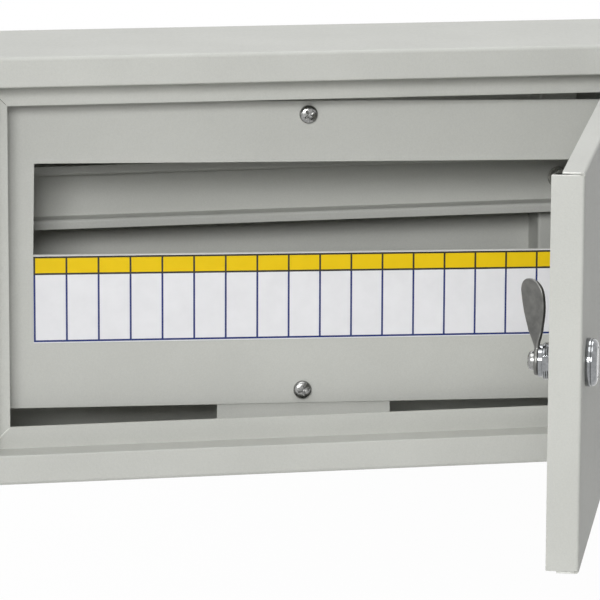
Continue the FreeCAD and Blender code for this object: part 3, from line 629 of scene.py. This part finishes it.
class StudioLook(bpy.types.PropertyGroup):
    """Camera, lights and floor."""

    camera_place: FloatVectorProperty(
        name="Camera place", description="Where the camera stands",
        default=(-0.4449275, -2.2002359, 0.3685076), subtype="XYZ", unit="LENGTH")
    camera_turn: FloatVectorProperty(
        name="Camera turn", description="How the camera is turned",
        default=(math.radians(79.638), math.radians(-0.2074), math.radians(-11.7966)), subtype="EULER")
    lens: FloatProperty(name="Lens", description="Focal length in millimetres on a 36 mm sensor",
                        default=240.4765, min=20)
    floor: FloatProperty(name="Floor height", description="How high the floor lies",
                         default=-0.62, unit="LENGTH")
    floor_white: FloatProperty(name="Floor white", description="Share of plain white in the floor as seen",
                               default=0.97, min=0, max=1)
    front_left: power("Front left", "Power of the main softbox", 32.4)
    front: power("Front", "Power of the softbox over the camera", 11.6)
    upper_left: power("Upper left", "Power of the near softbox on the left", 5.2)
    door: power("Door", "Power of the softbox over the door", 3.6)
    rear_top: power("Rear top", "Power of the softbox above and behind", 12.4)
    back: power("Back", "Power of the softbox at the back", 14.0)
    room: FloatProperty(name="Room light", description="Strength of the light from all round",
                        default=0.09, min=0)


class BuildOperator:
    """What the operators that build this enclosure share: they run in the 3D view and can be undone."""

    bl_options = {"REGISTER", "UNDO"}


class ENCLOSURE_OT_finish_nodes(BuildOperator, bpy.types.Operator):
    """Give the CAD's sheet, hardware, brass and lock nodes their finishes"""

    bl_idname = "enclosure.finish_nodes"
    bl_label = "Finish the CAD nodes"

    def execute(self, context):
        coat = finish_of("polyester_powder_coat", powder_coat, context.scene.enclosure_sheet)
        zinc = finish_of("barrel_zinc_plate", zinc_plate)
        chrome = finish_of("chrome_plated_casting", chrome_plate)
        finishes = {node: coat for node in SHEET_NODES}
        finishes.update({node: zinc for node in ZINC_NODES})
        finishes.update({node: chrome for node in CHROME_NODES})
        finishes["earth_bar"] = finish_of("milled_brass", machined_brass)
        for node, finish in finishes.items():
            for slot in frame["nodes"][node].material_slots:
                slot.material = finish
        return {"FINISHED"}


class ENCLOSURE_OT_weld_seams(BuildOperator, bpy.types.Operator):
    """Lay the weld beads, coated with a painted highlight, on the flange's lower mitres, and thin lines of
    painted shade on its upper ones
    """

    bl_idname = "enclosure.weld_seams"
    bl_label = "Weld seams"

    def execute(self, context):
        look = context.scene.enclosure_sheet
        outer_gap, inner_gap = 0.5 * MM, 0.4 * MM
        low, high = corners_of("case_shell")
        outer = high[[0, 2]] - look.rim - outer_gap
        inner = high[[0, 2]] - look.rim - look.flange + inner_gap
        face = low[1] + look.recess
        rng = np.random.default_rng(7)
        patches = []
        for side_x in (-1, 1):
            for side_z in (-1, 1):
                start, end = outer * (side_x, side_z), inner * (side_x, side_z)
                width, height = look.seam_width, look.seam_height
                if side_z > 0:
                    width, height = look.shade_line_width, look.shade_line_height
                patches += half_round_bead(start, end, width, height, face, rng)
        # The lower beads' light coat is a painted highlight, and the upper lines' dark coat is painted shade.
        finishes = [finish_of("painted_weld_bead", bead_coat_with_painted_highlight), finish_of("shadowed_mitre_gap", painted_mitre_shade)]
        mesh = make_piece("flange_weld_beads", patches, finishes, "case").data
        # Faces above the middle, on the upper mitres, take the second finish, the painted shade; the lower
        # beads keep the painted highlight.
        mesh.polygons.foreach_set("material_index", (face_centres(mesh)[:, 2] > 0).astype(np.int32))
        return {"FINISHED"}


class ENCLOSURE_OT_edge_beads(BuildOperator, bpy.types.Operator):
    """Lay the coat that gathers on the cut sheet edges at the door's free corners, painted light as a painted
    highlight along each edge
    """

    bl_idname = "enclosure.edge_beads"
    bl_label = "Edge beads"

    def execute(self, context):
        """At each corner one bead is half sunk in the free flange's end, and one in its neighbour's."""
        look = context.scene.enclosure_sheet
        sheet, radius, slit, fold = 1.0 * MM, 0.5 * MM, 0.5 * MM, 2.0 * MM
        below_end, past_end = 0.2 * MM, 0.15 * MM
        door = lock_frame(0.0)
        low, high = corners_of("door_panel")
        patches = []
        for edge, side in ((high[2], 1), (low[2], -1)):
            level = edge - door.origin[2]
            free_end = (-look.free_edge + sheet / 2, level - side * (sheet + slit + below_end), 0)
            neighbour_end = (-look.free_edge + look.corner + past_end, level - side * sheet / 2, 0)
            patches.append((round_rod(radius, -look.free_flange, -fold) + free_end, False, True))
            patches.append((round_rod(radius, -look.edge_flange, -fold) + neighbour_end, False, True))
        # The beads' lighter coat is a painted highlight on the door's cut edges.
        make_piece("door_edge_beads", door.place(patches), [finish_of("painted_weld_bead", bead_coat_with_painted_highlight)],
                   "door")
        return {"FINISHED"}


class ENCLOSURE_OT_label(BuildOperator, bpy.types.Operator):
    """Print the label strip: a coloured band, blank cells and thin lines round them"""

    bl_idname = "enclosure.label"
    bl_label = "Label strip"

    def execute(self, context):
        """The film is a grid whose lines are the printed edges.

        Its level lines fall by the cover's lean, as a height less x times the lean's tangent. The
        lines between the cells stand upright, so the film is a parallelogram. A face's ink is 2 on
        a line, and 1 more over the band.
        """
        look = context.scene.enclosure_cover
        ripple_depth, ripple_x, ripple_z, back_gap = 0.02 * MM, 23 * MM, 11 * MM, 0.01 * MM
        low, high = corners_of("label_strip")
        middle = (low + high) / 2
        half = look.cells * look.module / 2
        fall = math.tan(look.lean)
        top = (high[2] - low[2]) / 2 - half * fall
        lines = np.linspace(-half, half, look.cells + 1)
        edge = look.line / 2
        upper = top - look.top_margin - edge
        lower = -top + look.bottom_margin + edge
        divide = upper - look.band
        side = half + look.side_margin
        across = np.unique(np.concatenate([[-side, side], lines - edge, lines + edge]))
        levels = np.array([upper, divide, lower])
        down = np.unique(np.concatenate([[-top, top], levels - edge, levels + edge]))
        x, z = np.meshgrid(across, down, indexing="ij")
        ripple = ripple_depth * (1 + np.sin(x / ripple_x) * np.sin(z / ripple_z))
        front = np.stack([middle[0] + x, low[1] + ripple, middle[2] + z - x * fall], axis=2)
        back = front.copy()
        back[:, :, 1] = high[1] - back_gap
        rim = [np.stack([front[0], back[0]]), np.stack([front[-1], back[-1]]),
               np.stack([front[:, 0], back[:, 0]]), np.stack([front[:, -1], back[:, -1]])]
        patches = [(grid, False, False) for grid in (front, back, *rim)]
        inks = [("label_white_film", look.film_colour), ("label_band_ink", look.band_colour),
                ("label_line_ink", look.ink_colour), ("label_overprint_ink", look.overprint_colour)]
        inks = [finish_of(name, printed_film, name, ink) for name, ink in inks]
        mesh = make_piece("label_film", patches, inks, "case", ["label_strip"]).data
        x, _, z = (face_centres(mesh) - middle).T
        z = z + x * fall
        on_line = np.abs(x[:, None] - lines).min(axis=1) < edge
        on_level = np.abs(z[:, None] - levels).min(axis=1) < edge
        inside = (np.abs(x) < half + edge) & (z > lower - edge) & (z < upper + edge)
        banded = z > divide - edge
        ink = np.where(inside, 2 * (on_line | on_level) + banded, 0)
        mesh.polygons.foreach_set("material_index", ink.astype(np.int32))
        return {"FINISHED"}


class ENCLOSURE_OT_fascia_screws(BuildOperator, bpy.types.Operator):
    """Turn the two pan-head screws that hold the inner cover"""

    bl_idname = "enclosure.fascia_screws"
    bl_label = "Fascia screws"

    def execute(self, context):
        look = context.scene.enclosure_cover
        low, high = corners_of("fascia_screws")
        seat = low[1] + look.head_height
        patches = []
        for corner, side, turn in ((high, -1, math.radians(38)), (low, 1, math.radians(12))):
            spot = facing_front(corner[0] + side * look.head, seat, corner[2] + side * look.head, turn)
            patches += spot.place(
                screw_head(look.head, look.head_height, arm=1.25 * MM, cross=5.6 * MM, depth=1.7 * MM)
                + threaded_rod(radius=2.48 * MM, pitch=0.8 * MM, low=-12.0 * MM, high=0.0))
        make_piece("cover_screws", patches, [finish_of("bright_zinc_screw", bright_screw)], "case",
                   ["fascia_screws"], sharp=math.radians(50))
        return {"FINISHED"}


class ENCLOSURE_OT_rail_fasteners(BuildOperator, bpy.types.Operator):
    """Turn the nuts, washers and threaded studs that hold the rail"""

    bl_idname = "enclosure.rail_fasteners"
    bl_label = "Rail fasteners"

    def execute(self, context):
        washer_radius, washer_hole = 6.2 * MM, 3.25 * MM
        nut_width, nut_bore, nut_height = 10.0 * MM, 3.04 * MM, 5.0 * MM
        stud_radius, pitch, stud_reach = 2.98 * MM, 1.0 * MM, 2.0 * MM
        foot_radius, foot_low, foot_high, foot_round = 5.0 * MM, -3.9 * MM, -2.4 * MM, 0.4 * MM
        low, high = corners_of("rail_washers")
        thickness = high[1] - low[1]
        stud_top = thickness + nut_height + stud_reach
        foot = rounded_profile([(0, foot_low), (foot_radius, foot_low), (foot_radius, foot_high),
                                (0, foot_high)], foot_round)
        nuts, washers, studs = [], [], []
        for corner, side in ((low, 1), (high, -1)):
            spot = facing_front(corner[0] + side * washer_radius, high[1], corner[2] + side * washer_radius)
            washers += spot.place(plain_washer(washer_radius, washer_hole, thickness))
            nuts += spot.place(raised(hex_nut(nut_width, nut_bore, nut_height), thickness))
            studs += spot.place(threaded_rod(stud_radius, pitch, foot_high, stud_top))
            studs += spot.place([(lathe(foot), False, True)])
        dark = finish_of("blackened_nut_steel", dark_nut_steel)
        make_piece("rail_hex_nuts", nuts, [dark], "case", ["rail_nuts"], sharp=math.radians(24))
        make_piece("rail_plain_washers", washers, [dark], "case", ["rail_washers"])
        make_piece("rail_threaded_studs", studs, [finish_of("barrel_zinc_plate", zinc_plate)], "case",
                   ["rail_studs"])
        return {"FINISHED"}


class ENCLOSURE_OT_lock_housing(BuildOperator, bpy.types.Operator):
    """Turn the lock's domed bezel and its threaded barrel with two flats"""

    bl_idname = "enclosure.lock_housing"
    bl_label = "Lock housing"

    def execute(self, context):
        """The bezel's dome is a quarter ellipse over a groove and a skirt.

        The barrel's radius is its thread's or its flat's, whichever is less.
        """
        look = context.scene.enclosure_lock
        skirt, dish, rim, groove, softness = 2.4 * MM, 1.2 * MM, 7.6 * MM, 0.3 * MM, 0.2 * MM
        pitch, thread_depth, chamfer_depth, chamfer_run = 1.0 * MM, 0.28 * MM, 0.6 * MM, 0.8 * MM
        rows, count = 170, 96
        turn = np.linspace(0, math.pi / 2, 14)
        start = skirt + groove
        waist = look.bezel - groove * 1.5
        dome = np.stack([look.bezel_face + (look.bezel - groove / 2 - look.bezel_face) * np.sin(turn),
                         start + (look.bezel_height - start) * np.cos(turn)], axis=1)
        floor = look.bezel_height - dish
        inside = [(look.bore, 0.0), (look.bore, floor), (rim, floor), (rim, look.bezel_height)]
        outside = [(waist, start), (waist, skirt), (look.bezel, skirt), (look.bezel, 0.0), (look.bore, 0.0)]
        bezel = rounded_profile(inside + dome.tolist() + outside, softness, steps=3)
        height = np.linspace(-look.barrel_length, 0.0, rows)[:, None]
        angle = around(count)
        chamfer = 1 - smooth_step((height + look.barrel_length) / chamfer_run)
        round_part = look.barrel - thread_depth * thread_wave(height, angle, pitch) - chamfer_depth * chamfer
        flat_part = look.flats / 2 / np.maximum(np.abs(np.cos(angle)), 1e-6)
        barrel = polar(np.minimum(round_part, flat_part), angle, height)
        hole = lathe([(look.bore, 0.0), (look.bore, -look.barrel_length)], count)
        patches = [(lathe(bezel, count), True, True), (np.concatenate([barrel, hole]), True, True)]
        make_piece("lock_bezel_and_barrel", lock_frame(0.0).place(patches),
                   [finish_of("chrome_plated_casting", chrome_plate)], "door",
                   ["lock_housing"])
        return {"FINISHED"}


class ENCLOSURE_OT_lock_nut(BuildOperator, bpy.types.Operator):
    """Turn the thin nut that clamps the lock in the door"""

    bl_idname = "enclosure.lock_nut"
    bl_label = "Lock nut"

    def execute(self, context):
        look = context.scene.enclosure_lock
        nut_width, nut_height, seat, clearance = 22.0 * MM, 3.5 * MM, 1.8 * MM, 0.04 * MM
        patches = hex_nut(nut_width, look.barrel + clearance, nut_height)
        make_piece("lock_clamp_nut", lock_frame(seat + nut_height).place(patches),
                   [finish_of("chrome_plated_casting", chrome_plate)], "door", ["lock_nut"],
                   sharp=math.radians(24))
        return {"FINISHED"}


class ENCLOSURE_OT_cam_lever(BuildOperator, bpy.types.Operator):
    """Stamp and twist the lever: a round hub, a slim neck and a spoon-shaped blade"""

    bl_idname = "enclosure.cam_lever"
    bl_label = "Cam lever"

    def execute(self, context):
        """The lever's outline is walked once round, with a section at each of its points.

        A section starts on the spine, runs over the front face, round the edge and back under the
        rear face. All of it is twisted in step with its height, eased a little at both ends, and
        leans and curls away from the door.
        """
        look = context.scene.enclosure_lock
        edge, thick, easing = 0.85 * MM, look.lever_sheet / 2, 0.3
        outline = lever_outline(look)
        run = np.roll(outline, -1, axis=0) - np.roll(outline, 1, axis=0)
        inward = np.stack([-run[:, 1], run[:, 0]], axis=1) / np.linalg.norm(run, axis=1)[:, None]
        spine = np.stack([0 * outline[:, 0], np.clip(outline[:, 1], 0, look.lever - look.blade / 2)], axis=1)
        bend = np.linspace(0, math.pi / 2, 7)
        inset = np.concatenate([edge * (1 - np.sin(bend)), edge * (1 - np.cos(bend))])
        depth = np.concatenate([thick - edge + edge * np.cos(bend), -(thick - edge) - edge * np.sin(bend)])
        ring = outline[None] + inward[None] * inset[:, None, None]
        shares = np.linspace(0, 1, 6)[:-1, None, None]
        over = spine[None] + (ring[:1] - spine[None]) * shares
        under = (spine[None] + (ring[-1:] - spine[None]) * shares)[::-1]
        flat = np.concatenate([over, ring, under])
        through = np.concatenate([[thick] * len(shares), depth, [-thick] * len(shares)])[:, None]
        side, height = flat[:, :, 0], flat[:, :, 1]
        share = np.clip((height - look.twist_from) / (look.twist_to - look.twist_from), 0, 1)
        angle = look.twist * ((1 - easing) * share + easing * smooth_step(share))
        curled = np.clip((height - look.curl_from) / (look.lever - look.curl_from), 0, 1)
        x = side * np.cos(angle) + through * np.sin(angle)
        z = through * np.cos(angle) - side * np.sin(angle)
        z = z - look.lean * np.clip(height - look.twist_from, 0, None) - look.curl * curled ** 2
        patches = [(np.stack([x, height, z], axis=2), False, True)]
        make_piece("spoon_lever", lock_frame(look.lever_seat + thick).place(patches),
                   [finish_of("tumbled_nickel_steel", satin_lever_steel)], "lock",
                   ["cam_lever"], sharp=math.radians(60))
        return {"FINISHED"}


class ENCLOSURE_OT_cam_screw(BuildOperator, bpy.types.Operator):
    """Turn the pan-head screw that holds the lever"""

    bl_idname = "enclosure.cam_screw"
    bl_label = "Cam screw"

    def execute(self, context):
        look = context.scene.enclosure_lock
        out = lock_frame(look.lever_seat + look.lever_sheet)
        spot = Local(out.origin, out.axes[0], -out.axes[1], -out.axes[2])
        patches = screw_head(radius=4.6 * MM, height=3.4 * MM, arm=1.2 * MM, cross=5.0 * MM, depth=1.6 * MM)
        patches += threaded_rod(radius=1.98 * MM, pitch=0.7 * MM, low=-7.0 * MM, high=0.0)
        make_piece("lever_screw", spot.place(patches), [finish_of("bright_zinc_screw", bright_screw)], "lock",
                   ["cam_screw"], sharp=math.radians(50))
        return {"FINISHED"}


def hang_softbox(name, place, size, watts):
    """A soft rectangular lamp at a place, turned towards the enclosure."""
    data = bpy.data.lights.new(name, "AREA")
    data.shape = "RECTANGLE"
    data.size, data.size_y = size
    data.energy = watts
    lamp = bpy.data.objects.new(name, data)
    bpy.context.scene.collection.objects.link(lamp)
    ahead = np.array(SOFTBOX_AIM, float) - np.array(place, float)
    ahead /= np.linalg.norm(ahead)
    lamp.location = place
    lamp.rotation_euler = (math.acos(-ahead[2]), 0.0, math.atan2(ahead[1], ahead[0]) - math.pi / 2)


def seen_as_white(tree, lit, white, share):
    """Mix a lit shader with a white one by a share, for camera, glossy and transmission rays alone."""
    path = add_node(tree, "ShaderNodeLightPath").outputs
    seen = add_node(tree, "ShaderNodeMath", {0: path["Is Camera Ray"], 1: path["Is Glossy Ray"]},
                    operation="MAXIMUM")
    seen = add_node(tree, "ShaderNodeMath", {0: seen.outputs[0], 1: path["Is Transmission Ray"]},
                    operation="MAXIMUM")
    seen = add_node(tree, "ShaderNodeMath", {0: seen.outputs[0], 1: share}, operation="MULTIPLY")
    return add_node(tree, "ShaderNodeMixShader", {0: seen.outputs[0], 1: lit, 2: white}).outputs[0]


def lay_floor(scene, look):
    """A wide sheet of pale paper below the enclosure, seen as almost plain white."""
    reach = 6.0
    side = np.linspace(-reach, reach, 3)
    x, y = np.meshgrid(side, side, indexing="ij")
    grid = np.stack([x, y, np.full_like(x, look.floor)], axis=2)
    mesh = bpy.data.meshes.new("studio_floor")
    mesh.from_pydata(grid.reshape(-1, 3).tolist(), [], grid_faces(3, 3).tolist())
    floor = bpy.data.objects.new("studio_floor", mesh)
    scene.collection.objects.link(floor)
    paper, tree, shader = new_material("pale_studio_paper")
    fill_sockets(tree, shader, {"Base Color": linear("#F4F4F2"), "Roughness": 0.9})
    white = add_node(tree, "ShaderNodeEmission", {"Color": linear("#FFFFFF"), "Strength": 1.0}).outputs[0]
    fill_sockets(tree, tree.nodes["Material Output"], {
        "Surface": seen_as_white(tree, shader.outputs[0], white, look.floor_white),
    })
    mesh.materials.append(paper)


def light_room(scene, look):
    """A faint light from all round, in a room that is seen as plain white."""
    world = bpy.data.worlds.new("soft_room")
    scene.world = world
    world.use_nodes = True
    tree = world.node_tree
    room = tree.nodes["Background"]
    fill_sockets(tree, room, {"Color": linear("#FFFFFF"), "Strength": look.room})
    plain = add_node(tree, "ShaderNodeBackground", {"Color": linear("#FFFFFF"), "Strength": 1.0})
    fill_sockets(tree, tree.nodes["World Output"], {
        "Surface": seen_as_white(tree, room.outputs[0], plain.outputs[0], 1.0),
    })


def set_camera(scene, look):
    """The camera at the photograph's place, with its turn and its lens."""
    data = bpy.data.cameras.new("photo_camera")
    data.sensor_fit = "HORIZONTAL"
    data.sensor_width = 36.0
    data.lens = look.lens
    data.clip_start = 0.05
    data.clip_end = 50.0
    camera = bpy.data.objects.new("photo_camera", data)
    scene.collection.objects.link(camera)
    camera.location = look.camera_place
    camera.rotation_euler = look.camera_turn
    scene.camera = camera


class ENCLOSURE_OT_studio(BuildOperator, bpy.types.Operator):
    """Set the floor, the soft lights, the white surroundings and the camera"""

    bl_idname = "enclosure.studio"
    bl_label = "Studio"

    def execute(self, context):
        scene = context.scene
        look = scene.enclosure_studio
        scene.view_settings.view_transform = "Standard"
        lay_floor(scene, look)
        light_room(scene, look)
        for name, (place, size) in SOFTBOXES.items():
            hang_softbox(name + "_softbox", place, size, getattr(look, name))
        set_camera(scene, look)
        return {"FINISHED"}


LOOKS = (("enclosure_sheet", SheetLook), ("enclosure_cover", CoverLook), ("enclosure_lock", LockLook),
         ("enclosure_studio", StudioLook))
OPERATORS = (
    ENCLOSURE_OT_finish_nodes, ENCLOSURE_OT_weld_seams, ENCLOSURE_OT_edge_beads, ENCLOSURE_OT_label,
    ENCLOSURE_OT_fascia_screws, ENCLOSURE_OT_rail_fasteners, ENCLOSURE_OT_lock_housing, ENCLOSURE_OT_lock_nut,
    ENCLOSURE_OT_cam_lever, ENCLOSURE_OT_cam_screw, ENCLOSURE_OT_studio,
)


class ENCLOSURE_PT_panel(bpy.types.Panel):
    """The sidebar panel that lists the sizes, the colours and the operators"""

    bl_idname = "ENCLOSURE_PT_panel"
    bl_label = "Steel wall enclosure"
    bl_space_type = "VIEW_3D"
    bl_region_type = "UI"
    bl_category = "Enclosure"

    def draw(self, context):
        for name, look in LOOKS:
            box = self.layout.box()
            for key in look.__annotations__:
                box.prop(getattr(context.scene, name), key)
        for operator in OPERATORS:
            self.layout.operator(operator.bl_idname)


def register():
    """Register the looks, the operators and the panel."""
    for name, look in LOOKS:
        bpy.utils.register_class(look)
        setattr(bpy.types.Scene, name, PointerProperty(type=look))
    for item in (*OPERATORS, ENCLOSURE_PT_panel):
        bpy.utils.register_class(item)


def unregister():
    """Remove what register added, in the opposite order."""
    for item in (ENCLOSURE_PT_panel, *reversed(OPERATORS)):
        bpy.utils.unregister_class(item)
    for name, look in reversed(LOOKS):
        delattr(bpy.types.Scene, name)
        bpy.utils.unregister_class(look)


def main():
    """Register the looks and the operators, then build every piece in order."""
    register()
    for operator in OPERATORS:
        group, name = operator.bl_idname.split(".")
        getattr(getattr(bpy.ops, group), name)()


if __name__ == "__main__":
    main()
